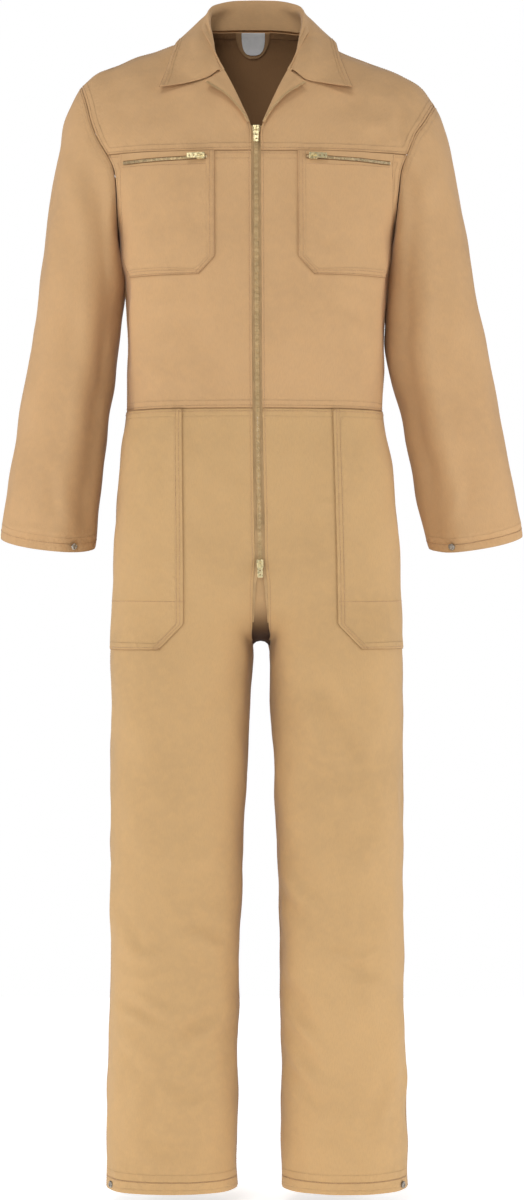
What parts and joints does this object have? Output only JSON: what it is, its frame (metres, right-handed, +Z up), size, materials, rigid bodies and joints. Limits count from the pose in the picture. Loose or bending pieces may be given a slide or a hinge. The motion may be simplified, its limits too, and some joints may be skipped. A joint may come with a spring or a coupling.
{
  "type": "boiler suit",
  "caption": "Long-sleeved work coverall with a turned-down collar, two-way front zip, zipped chest pockets and long hip patch pockets, worn and hollow.",
  "frame": {"origin": "between the shoulders, on the middle of the garment at the level of the shoulders that carry it", "axes": "+Z up the body, -Y out of the front, +X to the wearer's left"},
  "size_m": [0.6968, 0.238, 1.5903],
  "materials": {
    "twill": "matt tan cotton twill",
    "twill_trousers": "matt tan cotton twill",
    "zip_tape": "woven zip tape",
    "brass": "pale bright brass",
    "steel": "nickel-plated press stud",
    "label": "bare pale woven label"
  },
  "bodies": {
    "suit": {"back": "twill", "chest_pocket_left": "twill", "chest_pocket_right": "twill", "chest_zip_chain_left": "brass", "chest_zip_chain_right": "brass", "chest_zip_left_slider": "brass", "chest_zip_right_slider": "brass", "chest_zip_tape_left": "zip_tape", "chest_zip_tape_right": "zip_tape", "collar": "twill", "facing_left": "twill", "facing_right": "twill", "front_left": "twill", "front_right": "twill", "front_yoke_left": "twill", "front_yoke_right": "twill", "hip_pocket_left": "twill_trousers", "hip_pocket_right": "twill_trousers", "leg_back_left": "twill_trousers", "leg_back_right": "twill_trousers", "leg_front_left": "twill_trousers", "leg_front_right": "twill_trousers", "neck_label": "label", "neck_patch": "twill", "sleeve_back_left": "twill", "sleeve_back_right": "twill", "sleeve_front_left": "twill", "sleeve_front_right": "twill", "snap_cuff_left": "steel", "snap_cuff_right": "steel", "snap_leg_left": "steel", "snap_leg_right": "steel", "zip_bottom_slider": "brass", "zip_chain": "brass", "zip_tape_left": "zip_tape", "zip_tape_right": "zip_tape", "zip_tape_top_left": "zip_tape", "zip_tape_top_right": "zip_tape", "zip_teeth_top_left": "brass", "zip_teeth_top_right": "brass", "zip_top_slider": "brass"},
    "chest_zip_left_tab": {"chest_zip_left_pull": "brass"},
    "chest_zip_right_tab": {"chest_zip_right_pull": "brass"},
    "zip_bottom_tab": {"zip_bottom_pull": "brass"},
    "zip_top_tab": {"zip_top_pull": "brass"}
  },
  "joints": [
    {"name": "chest_zip_left_tab_swing", "type": "hinge", "parent": "suit", "child": "chest_zip_left_tab", "pos_m": [0.07324, -0.1158, -0.16213], "axis": [0.0244, -0.1487, -0.9886], "range_deg": [0, 150]},
    {"name": "chest_zip_right_tab_swing", "type": "hinge", "parent": "suit", "child": "chest_zip_right_tab", "pos_m": [-0.0732, -0.11618, -0.16219], "axis": [0.0222, 0.1408, 0.9898], "range_deg": [0, 150]},
    {"name": "zip_bottom_tab_swing", "type": "hinge", "parent": "suit", "child": "zip_bottom_tab", "pos_m": [0.0041, -0.11497, -0.69122], "axis": [-0.9999, 0.0005, -0.0114], "range_deg": [0, 150]},
    {"name": "zip_top_tab_swing", "type": "hinge", "parent": "suit", "child": "zip_top_tab", "pos_m": [-0.00107, -0.11287, -0.12715], "axis": [-1, -0.0005, -0.0028], "range_deg": [0, 150]}
  ]
}
